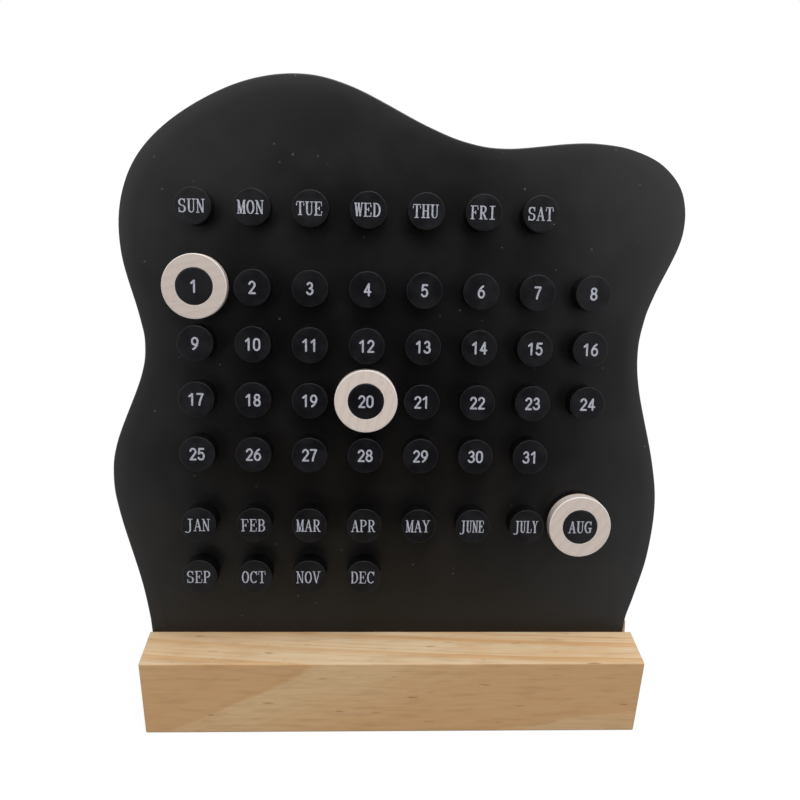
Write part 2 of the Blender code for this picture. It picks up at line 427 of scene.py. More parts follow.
def new_material(name):
    """A material with its graph, its shader and the place on the object that its patterns follow."""
    material = bpy.data.materials.new(name)
    material.use_nodes = True
    graph = Graph(material.node_tree)
    shader = material.node_tree.nodes["Principled BSDF"]
    return material, graph, shader, graph.node("TexCoord")["Object"]


def patchy(graph, surface, paint, factor, high=0.68):
    """Paint that is lighter or darker by the factor in the surface's slow patches."""
    shifted = [factor * part for part in paint]
    return graph.blend(graph.remap(surface["Patches"], 0.35, high), rgba(paint), rgba(shifted))


PINE_FIGURE = {"Pith": (0.0, -0.2326, 0.047), "Drift": -0.063, "Bend": 0.23, "Waver": 0.0016}
RING_FIGURE = {"Pith": (0.0, 0.07, -0.12), "Drift": 0.12, "Waver": 0.0018}


def make_pine(look):
    """Sanded pine. Its front and back are flat-sawn, so the growth rings show wide and soft there. They are
    also painted darker and warmer than the top, as painted shade for the dimmer, warmer light on them.
    """
    material, graph, shader, place = new_material("Sanded pine")
    facing = graph.axes(graph.node("TexCoord")["Normal"])
    front_or_back = graph.math("ABSOLUTE", facing["Y"])
    flat_sawn_and_shaded = graph.remap(front_or_back, 0.5, 0.95)

    def by_cut(elsewhere, flat):
        return graph.remap(flat_sawn_and_shaded, 0.0, 1.0, elsewhere, flat)

    wood = graph.group(
        "Wood figure",
        {
            **PINE_FIGURE,
            "Vector": place,
            "Ring width": look.ring_width,
            "Late from": by_cut(0.5, 0.08),
            "Late to": by_cut(0.95, 0.66),
        },
    )
    # Painted shade: the front and back are pushed 0.36 towards the late wood and take the warmer early wood
    # below, for the dimmer light on them. Their other ring and streak settings are the flat-sawn figure.
    amount = graph.total(
        graph.times(wood["Growth"], by_cut(0.6, 0.42)),
        graph.times(graph.remap(wood["Streaks"], 0.46, 0.7), by_cut(0.6, 0.16)),
        graph.times(flat_sawn_and_shaded, 0.36),
        graph.remap(wood["Ring tone"], 0.0, 1.0, -0.08, 0.12),
        graph.remap(wood["Fibres"], 0.25, 0.75, -0.15, 0.15),
    )
    early = graph.blend(flat_sawn_and_shaded, rgba(look.early_wood), rgba(look.flat_wood))
    body = graph.blend(graph.remap(amount, -0.15, 0.95), early, rgba(look.late_wood))
    surface = graph.mottle(place, 0.035, 0.0005)
    warm = graph.blend(graph.remap(surface["Patches"], 0.42, 0.62, 0.0, 0.3), body, rgba(look.late_wood))
    drawn_out = graph.scaled(place, 0.16, 1.0, 1.0)
    grain = graph.mottle(drawn_out, 0.0024, 0.0006)
    shade = graph.remap(grain["Patches"], 0.46, 0.74, 0.0, 0.24)
    dark = graph.math("MAXIMUM", graph.times(wood["Ducts"], 0.75), shade)
    clean = graph.blend(dark, warm, rgba(look.duct))
    # Painted shade: the lowest 0.9 mm of the block and the vertical corners at its right end are blended
    # towards the grey, standing in for the contact shadow and the shade there.
    level = graph.axes(place)["Z"]
    low = graph.remap(level, 0.3 * MM, 0.9 * MM, 1.0, 0.0)
    corner = graph.remap(graph.times(facing["X"], front_or_back), 0.15, 0.4, 0.0, 0.4)
    painted_shade = graph.times(graph.math("MAXIMUM", low, corner), 0.6)
    height = graph.total(wood["Fibres"], graph.times(surface["Grit"], 0.5))
    rough = graph.remap(wood["Growth"], 0.0, 1.0, look.roughness + 0.06, look.roughness - 0.06)
    paint = graph.blend(painted_shade, clean, rgba(look.grime))
    graph.dress(shader, paint, rough, 0.3, Normal=graph.bump(height, 0.12, 0.2 * MM))
    return material


def make_board_paint(look):
    material, graph, shader, place = new_material("Black board paint")
    surface = graph.mottle(place, 0.03, 0.0007)
    specks = graph.specks(place, 0.0068, 0.7, 0.05)
    fine = graph.specks(place, 0.0031, 0.3, 0.05)
    dust = graph.math("MAXIMUM", specks, graph.times(fine, 0.35))
    paint = graph.blend(dust, patchy(graph, surface, look.paint, 1.7), rgba(look.dust))
    rough = graph.remap(surface["Patches"], 0.3, 0.7, look.roughness - 0.03, look.roughness + 0.04)
    graph.dress(shader, paint, rough, look.specular, Normal=graph.bump(surface["Grit"], 0.1, 0.05 * MM))
    return material


def make_peg_paint(look):
    """The chamfer round the face is rougher, which leaves it as a thin pale rim. The sides are painted a
    deeper black than the face, as painted shade.
    """
    material, graph, shader, place = new_material("Black peg paint")
    surface = graph.mottle(place, 0.006, 0.0005)
    specks = graph.specks(place, 0.0035, 0.05, 0.035)
    tilt = graph.facing_out()
    face = patchy(graph, surface, look.paint, 1.8)
    # Painted shade: the sides, turned away from the face, take the deeper black.
    paint = graph.blend(graph.remap(tilt, 0.3, 0.9), rgba(look.side_paint), face)
    dusty = graph.blend(specks, paint, rgba(look.dust))
    rough = graph.remap(surface["Patches"], 0.3, 0.7, look.roughness - 0.04, look.roughness + 0.05)
    rim = graph.between(tilt, (0.3, 0.6), (0.8, 0.97))
    rough = graph.total(rough, graph.times(rim, 0.3))
    graph.dress(shader, dusty, rough, look.specular, Normal=graph.bump(surface["Grit"], 0.12, 0.04 * MM))
    return material


def make_ink(look):
    material, graph, shader, place = new_material("Pale print")
    surface = graph.mottle(place, 0.0009, 0.0002)
    rough = graph.remap(surface["Grit"], 0.3, 0.7, look.roughness - 0.06, look.roughness + 0.08)
    graph.dress(shader, patchy(graph, surface, look.ink, 0.72, 0.65), rough, 0.35)
    return material


def make_pale_wood(look, label, tone, turned):
    """Pale wood of one ring, a little darker or lighter than the others and with its grain turned."""
    material, graph, shader, place = new_material(f"Pale wood of ring {label}")
    early, late = ([tone * part for part in wood] for wood in (look.early_wood, look.late_wood))
    turn = (radians(11.0), radians(turned), radians(23.0))
    grain = graph.node("Mapping", {"Vector": place, "Rotation": turn})["Vector"]
    wood = graph.group("Wood figure", {**RING_FIGURE, "Vector": grain, "Ring width": look.ring_width})
    fibres = graph.remap(wood["Fibres"], 0.25, 0.75, -0.22, 0.22)
    amount = graph.total(graph.times(wood["Growth"], 0.55), fibres)
    body = graph.blend(graph.remap(amount, -0.15, 0.85), rgba(early), rgba(late))
    body = graph.blend(graph.times(wood["Ducts"], 0.3), body, rgba(look.duct))
    # Painted highlight: the ring's chamfers are painted 40% nearer white, standing in for the bright line
    # of light along them.
    chamfer = graph.between(graph.facing_out(), (0.4, 0.6), (0.8, 0.95))
    chamfer_highlight = [part + 0.4 * (1 - part) for part in early]
    body = graph.blend(chamfer, body, rgba(chamfer_highlight))
    rough = graph.remap(wood["Growth"], 0.0, 1.0, look.roughness + 0.06, look.roughness - 0.06)
    graph.dress(shader, body, rough, 0.35, Normal=graph.bump(wood["Fibres"], 0.12, 0.15 * MM))
    return material


# Meshes


EASING_STEPS = 4
HARD_TURN = radians(35.0)
PEG_SIDES = 64
RING_SIDES = 96
# How deep a peg's side reaches below the board's face
PEG_SINK = 0.15 * MM


def add_object(name, data):
    made = bpy.data.objects.new(name, data)
    bpy.context.scene.collection.objects.link(made)
    return made


def add_piece(name, mesh, body, slot, material, *replaced):
    """A finished piece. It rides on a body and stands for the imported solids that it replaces."""
    mesh.materials.append(material)
    piece = add_object(name, mesh)
    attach(piece, body)
    if replaced:
        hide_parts(*replaced)
    return piece


def put_in_order(items, place):
    """Points or faces sorted by where they are, because bevel and extrude mix them anew in each run."""
    ranks = {item: rank for rank, item in enumerate(sorted(items, key=lambda item: place(item)[:]))}
    items.sort(key=ranks.get)


def mesh_from(bm, name, to_world=None):
    """The bmesh as a mesh, taken to world axes, with its hard edges marked sharp. It is freed."""
    put_in_order(bm.verts, lambda vertex: vertex.co)
    put_in_order(bm.faces, lambda face: face.calc_center_median())
    if to_world is not None:
        bm.transform(to_world)
    bmesh.ops.recalc_face_normals(bm, faces=bm.faces)
    for edge in bm.edges:
        edge.smooth = edge.calc_face_angle(0.0) < HARD_TURN
    mesh = bpy.data.meshes.new(name)
    bm.to_mesh(mesh)
    bm.free()
    return mesh


def shade_softly(piece):
    """Smooth shading in which each wide face stays flat."""
    piece.data.shade_smooth()
    modifier = piece.modifiers.new("Weighted normals", "WEIGHTED_NORMAL")
    modifier.weight = 100
    modifier.keep_sharp = True


def neighbours(ring):
    """Each item of a closed ring with the one before it and the one after it."""
    return zip(ring[-1:] + ring[:-1], ring, ring[1:] + ring[:1])


def anticlockwise(outline):
    area = sum(a.cross(b) for _, a, b in neighbours(outline))
    return outline if area > 0 else outline[::-1]


def eased(corners, reach, closed):
    """A flat profile whose corners are each rounded over that reach."""
    rounded = []
    count = len(corners)
    for index, corner in enumerate(corners):
        if not closed and index in (0, count - 1):
            rounded.append(corner)
            continue
        start = corner + (corners[index - 1] - corner).normalized() * reach
        end = corner + (corners[(index + 1) % count] - corner).normalized() * reach
        for step in range(EASING_STEPS + 1):
            part = step / EASING_STEPS
            rounded.append(start.lerp(corner, part).lerp(corner.lerp(end, part), part))
    return rounded


def revolved(name, profile, closed, sides, centre):
    """A profile of radius and out, turned about a line that stands on the board at the centre."""
    bm = bmesh.new()
    hoops = []
    turns = [tau * step / sides for step in range(sides)]
    for radius, out in profile:
        places = [(centre.x + radius * cos(turn), centre.y + radius * sin(turn), out) for turn in turns]
        hoops.append([bm.verts.new(place) for place in places])
    pairs = list(zip(hoops, hoops[1:]))
    if closed:
        pairs.append((hoops[-1], hoops[0]))
    else:
        bm.faces.new(hoops[0])
        bm.faces.new(hoops[-1])
    for upper, lower in pairs:
        for step in range(sides):
            after = (step + 1) % sides
            bm.faces.new((upper[step], upper[after], lower[after], lower[step]))
    return mesh_from(bm, name, FROM_BOARD)


# The block


# How much nearer to the board the slot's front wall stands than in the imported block
SLOT_SHIFT = 0.22 * MM
SLOT_MOUTH = (3, 6)


def slot_corners():
    """The two long corners at the bottom of the block's slot, front one first, as points at one height."""
    low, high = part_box(BLOCK)
    inner = []
    for vertex in frame["nodes"][BLOCK].data.vertices:
        margins = [min(vertex.co[axis] - low[axis], high[axis] - vertex.co[axis]) for axis in (1, 2)]
        if min(margins) > MM:
            inner.append(vertex.co)
    return min(inner, key=lambda point: point.y), max(inner, key=lambda point: point.y)


def is_box_edge(edge, low, high):
    """Whether an edge lies along one of the twelve edges of the block's box."""
    sides = 0
    for axis in range(3):
        for limit in (low[axis], high[axis]):
            sides += all(abs(vertex.co[axis] - limit) < TOUCH for vertex in edge.verts)
    return sides == 2


def block_mesh(look):
    """The block, built from the outline of its end. SLOT_MOUTH counts that outline's corners."""
    low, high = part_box(BLOCK)
    front, back = slot_corners()
    front = front + Vector((0.0, SLOT_SHIFT, 0.0))
    mouths = [corner + UP * ((high.z - corner.z) / UP.z) for corner in (front, back)]
    outline = [
        (low.y, low.z),
        (high.y, low.z),
        (high.y, high.z),
        (mouths[1].y, high.z),
        (back.y, back.z),
        (front.y, front.z),
        (mouths[0].y, high.z),
        (low.y, high.z),
    ]
    bm = bmesh.new()
    ends = [[bm.verts.new((x, y, z)) for y, z in outline] for x in (low.x, high.x)]
    for end in ends:
        bm.faces.new(end)
    count = len(outline)
    long_edges = []
    for index in range(count):
        after = (index + 1) % count
        bm.faces.new((ends[0][index], ends[0][after], ends[1][after], ends[1][index]))
        long_edges.append(bm.edges.get((ends[0][index], ends[1][index])))
    settings = {"offset_type": "OFFSET", "segments": EASING_STEPS, "profile": 0.5, "affect": "EDGES"}
    bmesh.ops.recalc_face_normals(bm, faces=bm.faces)
    mouth_edges = [long_edges[corner] for corner in SLOT_MOUTH]
    bmesh.ops.bevel(bm, geom=mouth_edges, offset=look.slot_edge, **settings)
    outer_edges = [edge for edge in bm.edges if is_box_edge(edge, low, high)]
    bmesh.ops.bevel(bm, geom=outer_edges, offset=look.edge, **settings)
    return mesh_from(bm, "pine_block")


class MakeBlock(bpy.types.Operator):
    """Build the pine block with its slot"""

    bl_idname = "calendar.make_block"
    bl_label = "Block"

    def execute(self, context):
        look = context.scene.calendar_block
        piece = add_piece("pine_block", block_mesh(look), "base", "pine", make_pine(look), BLOCK)
        shade_softly(piece)
        return {"FINISHED"}


# The board


CORNER_TURN = radians(8.0)
CROWN_STEPS = 4
OUTLINE_STEPS = 3
OUTLINE_TRIM = 0.03 * MM
FLAT = 0.01 * MM


def board_outline():
    """The board's outline as side and up, in order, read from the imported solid's front face."""
    bm = bmesh.new()
    bm.from_mesh(frame["nodes"][BOARD].data)
    bm.transform(TO_BOARD)
    bmesh.ops.remove_doubles(bm, verts=bm.verts, dist=TOUCH)
    front = {face for face in bm.faces if all(BOARD_FACE - vertex.co.z < FLAT for vertex in face.verts)}
    links = {}
    for edge in bm.edges:
        if sum(face in front for face in edge.link_faces) == 1:
            for vertex in edge.verts:
                links.setdefault(vertex, []).append(edge.other_vert(vertex))
    first = min(links, key=lambda vertex: vertex.co.x)
    loop = [first]
    here, before = links[first][0], first
    while here is not first:
        loop.append(here)
        here, before = next(vertex for vertex in links[here] if vertex is not before), here
    outline = [vertex.co.xy.copy() for vertex in loop]
    bm.free()
    return anticlockwise(outline)


def smoothed(outline):
    """The outline with more points on its curved stretches. Its corners stay."""
    tangents = []
    for before, point, after in neighbours(outline):
        inward = point - before
        outward = after - point
        corner = abs(inward.angle_signed(outward)) > CORNER_TURN
        blended = inward.normalized() * outward.length + outward.normalized() * inward.length
        tangents.append(None if corner else blended.normalized())
    finer = []
    for _, (point, leaving), (following, arriving) in neighbours(list(zip(outline, tangents))):
        span = following - point
        leave = (leaving or span.normalized()) * span.length
        arrive = (arriving or span.normalized()) * span.length
        for step in range(OUTLINE_STEPS):
            t = step / OUTLINE_STEPS
            along = t * t * (3 - 2 * t)
            finer.append(point + span * along + leave * (t * (1 - t) ** 2) - arrive * (t * t * (1 - t)))
    return finer


def inset(outline, amount):
    """The outline drawn in by that amount."""
    moved = []
    for before, point, after in neighbours(outline):
        both = (point - before).normalized() + (after - point).normalized()
        inward = Vector((-both.y, both.x))
        scale = 2 / max(inward.length_squared, 0.5)
        moved.append(point + inward * (amount * scale))
    return moved


def board_mesh(look):
    outline = inset(smoothed(board_outline()), OUTLINE_TRIM)
    levels = []
    for step in range(EASING_STEPS + 1):
        turn = pi / 2 * step / EASING_STEPS
        levels.append((look.edge * (1 - cos(turn)), look.edge * (1 - sin(turn))))
    crowned = []
    for step in range(CROWN_STEPS):
        rest = 1 - step / CROWN_STEPS
        crowned.append((look.edge + look.crown_reach * rest, look.crown * (1 - rest) ** 2))
    front = [(drawn, BOARD_FACE - drop) for drawn, drop in crowned]
    front += [(drawn, BOARD_FACE - look.crown - drop) for drawn, drop in reversed(levels)]
    back = [(drawn, BOARD_LOW.z + drop) for drawn, drop in levels]
    bm = bmesh.new()
    loops = []
    for drawn, out in front + back:
        loops.append([bm.verts.new((point.x, point.y, out)) for point in inset(outline, drawn)])
    count = len(outline)
    for upper, lower in zip(loops, loops[1:]):
        for index in range(count):
            after = (index + 1) % count
            bm.faces.new((upper[index], lower[index], lower[after], upper[after]))
    caps = [bm.faces.new(loops[0]), bm.faces.new(loops[-1])]
    bmesh.ops.triangulate(bm, faces=caps)
    return mesh_from(bm, "wavy_board", FROM_BOARD)


class MakeBoard(bpy.types.Operator):
    """Build the wavy black board"""

    bl_idname = "calendar.make_board"
    bl_label = "Board"

    def execute(self, context):
        look = context.scene.calendar_board
        paint = make_board_paint(look)
        piece = add_piece("wavy_board", board_mesh(look), "board", "black_board", paint, BOARD)
        shade_softly(piece)
        return {"FINISHED"}


# The pegs and the rings


class MakePegs(bpy.types.Operator):
    """Build the fifty round pegs"""

    bl_idname = "calendar.make_pegs"
    bl_label = "Pegs"

    def execute(self, context):
        look = context.scene.calendar_pegs
        paint = make_peg_paint(look)
        for node in nodes_from(PEG_START):
            low, high = board_span(node)
            radius = (high.x - low.x) / 2
            corners = [
                Vector((radius - look.edge, high.z)),
                Vector((radius, high.z - look.edge)),
                Vector((radius, BOARD_FACE - PEG_SINK)),
            ]
            inner = Vector((radius - 4 * look.edge, high.z))
            profile = eased([inner, *corners], look.easing, False)
            mesh = revolved(node, profile, False, PEG_SIDES, (low + high) / 2)
            shade_softly(add_piece(f"turned_{node}", mesh, "board", "black_peg", paint, node))
        return {"FINISHED"}


RING_WOOD = {"01": (0.86, 8.0), "20": (1.0, 70.0), "aug": (0.94, 40.0)}
RING_SANDING = {"01": 0.22 * MM, "20": 0.2 * MM}


class MakeRings(bpy.types.Operator):
    """Build the three loose marker rings"""

    bl_idname = "calendar.make_rings"
    bl_label = "Rings"

    def execute(self, context):
        look = context.scene.calendar_rings
        for node in nodes_from(RING_START):
            label = node[len(RING_START):]
            wood = make_pale_wood(look, label, *RING_WOOD.get(label, (1.0, 0.0)))
            low, high = board_span(node)
            centre = (low + high) / 2
            points = [TO_BOARD @ vertex.co for vertex in frame["nodes"][node].data.vertices]
            bore = min((point.xy - centre.xy).length for point in points)
            outer = (high.x - low.x) / 2 - RING_SANDING.get(label, 0.0)
            corners = [
                (outer - look.edge, high.z),
                (outer, high.z - look.edge),
                (outer, low.z + look.edge),
                (outer - look.edge, low.z),
                (bore + look.bore_edge, low.z),
                (bore, low.z + look.bore_edge),
                (bore, high.z - look.bore_edge),
                (bore + look.bore_edge, high.z),
            ]
            profile = eased([Vector(corner) for corner in corners], look.easing, True)
            mesh = revolved(node, profile, True, RING_SIDES, centre)
            body = frame["nodes"][node]["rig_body"]
            shade_softly(add_piece(f"turned_{node}", mesh, body, "pale_wood", wood, node))
        return {"FINISHED"}


# The print, drawn as pen strokes in a cell that is one wide and one high


ARC_STEP = 15.0
CURVE_STEPS = 8
NIB_SIDES = 12
MERGE = 0.00001
STRAIGHT = radians(0.5)
WEEKDAYS = ("sun", "mon", "tue", "wed", "thu", "fri", "sat")
CENTRED = ("aug",)


def line(*parts):
    """Points, given in hundredths of the cell, and arcs, joined into one path."""
    points = []
    for part in parts:
        points += part if isinstance(part, list) else [Vector((part[0] / 100, part[1] / 100))]
    return points


def arc(x, y, wide, high, start, end):
    """Points along an ellipse round (x, y), from one angle to another in degrees, either way round."""
    steps = max(2, round(abs(end - start) / ARC_STEP))
    turns = [radians(start + (end - start) * step / steps) for step in range(steps + 1)]
    return line(*((x + wide * cos(turn), y + high * sin(turn)) for turn in turns))


def curve(start, pull, push, end):
    """Points along a Bezier curve."""
    points = []
    for step in range(CURVE_STEPS + 1):
        t = step / CURVE_STEPS
        s = 1 - t
        point = Vector((0.0, 0.0))
        weights = (s * s * s, 3 * s * s * t, 3 * s * t * t, t * t * t)
        for weight, control in zip(weights, line(start, pull, push, end)):
            point += control * weight
        points.append(point)
    return points


def stem(*parts):
    return "stem", line(*parts)


def hair(*parts):
    return "hair", line(*parts)


def upright(x):
    return stem((x, 0), (x, 100))


def serif(middle, height, reach=19):
    return hair((middle - reach, height), (middle + reach, height))


STROKES = {
    "0": [hair(arc(50, 68, 50, 32, 180, 0), arc(50, 32, 50, 32, 0, -180), (0, 68))],
    "1": [hair((6, 78), (56, 100)), hair((56, 100), (56, 0))],
    "2": [hair(arc(50, 72, 48, 28, 165, -25), (3, 0)), hair((3, 0), (100, 0))],
    "3": [hair(arc(46, 75.5, 42, 24.5, 155, -90)), hair(arc(46, 26.5, 52, 26.5, 80, -158))],
    "4": [hair((74, 0), (74, 100)), hair((74, 100), (0, 29)), hair((0, 29), (106, 29))],
    "5": [hair((93, 100), (18, 100)), hair((18, 100), (8, 54)), hair(arc(47, 32, 52, 32, 138, -152))],
    "6": [hair(arc(50, 31, 50, 31, 0, 360)), hair(curve((80, 100), (36, 86), (2, 62), (0, 31)))],
    "7": [hair((0, 100), (100, 100)), hair(curve((100, 100), (66, 62), (42, 30), (36, 0)))],
    "8": [hair(arc(50, 76.5, 42, 23.5, 0, 360)), hair(arc(50, 26.5, 50, 26.5, 0, 360))],
    "9": [hair(arc(50, 69, 50, 31, 0, 360)), hair(curve((20, 0), (64, 14), (98, 38), (100, 69)))],
    "A": [
        hair((14, 0), (50, 100)), stem((50, 100), (84, 0)), hair((26, 34), (72, 34)), serif(14, 0, 15),
        serif(85, 0, 16),
    ],
    "B": [
        upright(22), stem((5, 100), (50, 100), arc(50, 76.5, 30, 23.5, 75, -90), (22, 53)),
        stem(arc(53, 26.5, 34, 26.5, 90, -90), (5, 0)),
    ],
    "C": [stem(arc(53, 50, 42, 50, 42, 318)), hair((90, 100), (90, 70))],
    "D": [upright(22), stem((5, 100), (42, 100), arc(42, 50, 46, 50, 80, -80), (42, 0), (5, 0))],
    "E": [
        upright(24), hair((4, 100), (86, 100), (90, 74)), hair((24, 52), (62, 52)),
        hair((62, 64), (62, 40)), hair((4, 0), (88, 0), (94, 27)),
    ],
    "F": [
        upright(26), hair((5, 100), (88, 100), (92, 74)), hair((26, 50), (64, 50)),
        hair((64, 62), (64, 38)), serif(26, 0, 20),
    ],
    "G": [
        stem(arc(50, 50, 42, 50, 42, 300)), hair((86, 100), (86, 72)), stem((76, 40), (76, 6)),
        serif(76, 42, 20),
    ],
    "H": [
        upright(22), upright(78), hair((22, 52), (78, 52)), serif(22, 0), serif(22, 100), serif(78, 0),
        serif(78, 100),
    ],
    "I": [upright(50), serif(50, 0, 30), serif(50, 100, 30)],
    "J": [stem((62, 100), (62, 10), arc(26, 10, 36, 26, 0, -140)), serif(62, 100, 28)],
    "L": [upright(28), serif(28, 100, 22), hair((5, 0), (88, 0), (94, 30))],
    "M": [
        hair((14, 0), (14, 100)), stem((16, 100), (46, 0)), hair((46, 0), (80, 100)), upright(84),
        serif(13, 0, 13), serif(84, 0, 16), serif(10, 100, 10), serif(90, 100, 10),
    ],
    "N": [
        hair((18, 0), (18, 100)), stem((16, 100), (80, 0)), hair((82, 0), (82, 100)), serif(18, 0, 16),
        serif(12, 100, 12), serif(82, 100, 16),
    ],
    "O": [stem(arc(50, 50, 38, 50, 0, 360))],
    "P": [upright(24), stem((6, 100), (50, 100), arc(50, 74, 34, 26, 80, -90), (24, 48)), serif(24, 0, 20)],
    "R": [
        upright(22), stem((5, 100), (46, 100), arc(46, 75, 32, 25, 80, -90), (22, 50)),
        stem((46, 50), (80, 0)), serif(22, 0, 17), serif(86, 0, 13),
    ],
    "S": [
        stem(arc(48, 75.5, 32, 24.5, 35, 255), arc(50, 25.5, 34, 25.5, 75, -145)),
        hair((82, 100), (82, 73)), hair((14, 0), (14, 30)),
    ],
    "T": [upright(50), hair((5, 74), (9, 100), (91, 100), (95, 74)), serif(50, 0, 22)],
    "U": [
        stem((22, 100), (22, 26), arc(50, 26, 28, 26, 180, 270)),
        hair(arc(50, 26, 30, 26, 270, 360), (80, 100)), serif(22, 100, 20), serif(80, 100, 16),
    ],
    "V": [stem((16, 100), (50, 0)), hair((50, 0), (84, 100)), serif(15, 100, 15), serif(85, 100, 15)],
    "W": [
        stem((12, 100), (30, 0)), hair((30, 0), (50, 100)), stem((50, 100), (70, 0)),
        hair((70, 0), (90, 100)), serif(10, 100, 10), serif(90, 100, 10), serif(48, 100, 10),
    ],
    "Y": [
        stem((16, 100), (50, 46)), hair((50, 46), (84, 100)), stem((50, 48), (50, 0)), serif(15, 100, 15),
        serif(85, 100, 15), serif(50, 0, 20),
    ],
}


def nib_outline(middle, nib):
    turns = [tau * step / NIB_SIDES for step in range(NIB_SIDES)]
    return [middle + Vector((nib.x * cos(turn), nib.y * sin(turn))) for turn in turns]


def stroke_shapes(path, nib, round_ends):
    """Flat shapes that a nib covers along a path. The nib is given by its half width and half height."""
    banks = []
    apart = [after for before, after in zip(path, path[1:]) if (after - before).length > nib.y / 20]
    path = [path[0], *apart]
    last = len(path) - 1
    closed = (path[0] - path[last]).length < nib.y / 4
    for index, point in enumerate(path):
        before = path[index - 1] if index else (path[last - 1] if closed else path[0])
        after = path[index + 1] if index < last else (path[1] if closed else path[last])
        direction = (after - before).normalized()
        x, y = -nib.x * direction.y, nib.y * direction.x
        reach = Vector((nib.x * x, nib.y * y)) / hypot(x, y)
        banks.append((point - reach, point + reach))
    shapes = [[a[0], b[0], b[1], a[1]] for a, b in zip(banks, banks[1:])]
    if round_ends:
        shapes += [nib_outline(path[0], nib), nib_outline(path[last], nib)]
    return shapes


def word_shapes(word, width, height, nibs, gap):
    """The shapes of a word's strokes, centred on the middle of the word."""
    shapes = []
    cell = (width - gap * (len(word) - 1)) / len(word)
    margin = min(nib.x for nib in nibs.values())
    tall = min(nib.y for nib in nibs.values())
    for place, character in enumerate(word):
        left = place * (cell + gap) - width / 2
        for kind, path in STROKES[character]:
            points = []
            for point in path:
                x = left + margin + point.x * (cell - 2 * margin)
                y = tall - height / 2 + point.y * (height - 2 * tall)
                points.append(Vector((x, y)))
            shapes += stroke_shapes(points, nibs[kind], kind != "stem")
    return shapes


def ink_mesh(name, shapes, centre, face, thickness):
    """The shapes made one flat outline, raised to the ink's thickness on a peg's face."""
    corners = []
    faces = []
    for shape in shapes:
        faces.append(list(range(len(corners), len(corners) + len(shape))))
        corners += [point / MM for point in anticlockwise(shape)]
    points, _, triangles, _, _, owners = delaunay_2d_cdt(corners, [], faces, 0, MERGE)
    bm = bmesh.new()
    verts = [bm.verts.new((centre.x + p.x * MM, centre.y + p.y * MM, face - thickness)) for p in points]
    for triangle, owner in zip(triangles, owners):
        if owner:
            bm.faces.new([verts[index] for index in triangle])
    bmesh.ops.delete(bm, geom=[vertex for vertex in bm.verts if not vertex.link_faces], context="VERTS")
    bmesh.ops.dissolve_limit(bm, angle_limit=STRAIGHT, verts=bm.verts, edges=bm.edges)
    raised = bmesh.ops.extrude_face_region(bm, geom=bm.faces[:], use_keep_orig=True)["geom"]
    tops = [item for item in raised if isinstance(item, bmesh.types.BMVert)]
    bmesh.ops.translate(bm, verts=tops, vec=(0.0, 0.0, 2 * thickness))
    return mesh_from(bm, name, FROM_BOARD)


class MakePrint(bpy.types.Operator):
    """Print the weekdays, dates and months on the pegs' faces"""

    bl_idname = "calendar.make_print"
    bl_label = "Print"

    def execute(self, context):
        look = context.scene.calendar_print
        ink = make_ink(look)
        for node in nodes_from(PEG_START):
            label = node[len(PEG_START):]
            weekday = label in WEEKDAYS
            bold = weekday or label in CENTRED
            if label.isdigit():
                word = str(int(label))
                gap = look.number_gap
                width = len(word) * look.number_width + (len(word) - 1) * gap
                height = look.number_height
                thick = thin = look.number_pen
                shift = 0.0
            else:
                word = label.upper()
                gap = 0.0
                width = look.weekday_width if weekday else look.month_width
                height = look.weekday_height if weekday else look.month_height
                thick = look.weekday_stem if bold else look.month_stem
                thin = look.weekday_hair if bold else look.month_hair
                shift = 0.0 if label in CENTRED else look.word_shift
            pens = {"stem": Vector((thick, thin)) / 2, "hair": Vector((thin, thin)) / 2}
            shapes = word_shapes(word, width, height, pens, gap)
            low, high = board_span(node)
            centre = (low + high) / 2 - Vector((shift, 0.0, 0.0))
            mesh = ink_mesh(f"print_{label}", shapes, centre, high.z, look.thickness)
            add_piece(f"print_{label}", mesh, "board", "pale_print", ink)
        return {"FINISHED"}


# The stage


CAMERA_PLACE = (-0.01299, -0.25875, 0.23151)
CAMERA_TURN = (67.812, -1.704, -2.149)
SENSOR_WIDTH = 36.0
FLOOR_REACH = 4.0
CARD_SIZE = (0.262, 0.3)
CARD_SHIFT = Vector((0.0095, -0.087, 0.0))
MAT_SIZE = (0.22, 0.18)
MAT_PLACE = (-0.02, -0.19, 0.001)
SOFTBOXES = (
    ("overhead_softbox", "key", (1.0, 0.6), (0.12, -0.1, 0.95)),
    ("front_softbox", "side", (1.0, 0.4), (0.0, -0.78, 0.84)),
    ("left_softbox", "side", (0.45, 0.9), (-0.62, -0.8, 0.36)),
    ("right_softbox", "side", (0.45, 0.9), (0.64, -0.8, 0.36)),
)


def add_softbox(name, watts, size, place, target):
    lamp = bpy.data.lights.new(name, "AREA")
    lamp.shape = "RECTANGLE"
    lamp.size, lamp.size_y = size
    lamp.energy = watts
    holder = add_object(name, lamp)
    holder.location = place
    holder.rotation_euler = (target - Vector(place)).to_track_quat("-Z", "Y").to_euler()


def add_card(name, wide, high, material):
    """A flat card of the stage, that far to each side of its middle."""
    mesh = bpy.data.meshes.new(name)
    corners = [(-wide, -high, 0.0), (wide, -high, 0.0), (wide, high, 0.0), (-wide, high, 0.0)]
    mesh.from_pydata(corners, [], [(0, 1, 2, 3)])
    mesh.materials.append(material)
    card = add_object(name, mesh)
    return card


def seen_white(graph):
    """1 for the rays that should meet the plain white background: camera, glossy and transmission rays."""
    ray = graph.node("LightPath")
    bent = graph.math("MAXIMUM", ray["Is Glossy Ray"], ray["Is Transmission Ray"])
    return graph.math("MAXIMUM", ray["Is Camera Ray"], bent)


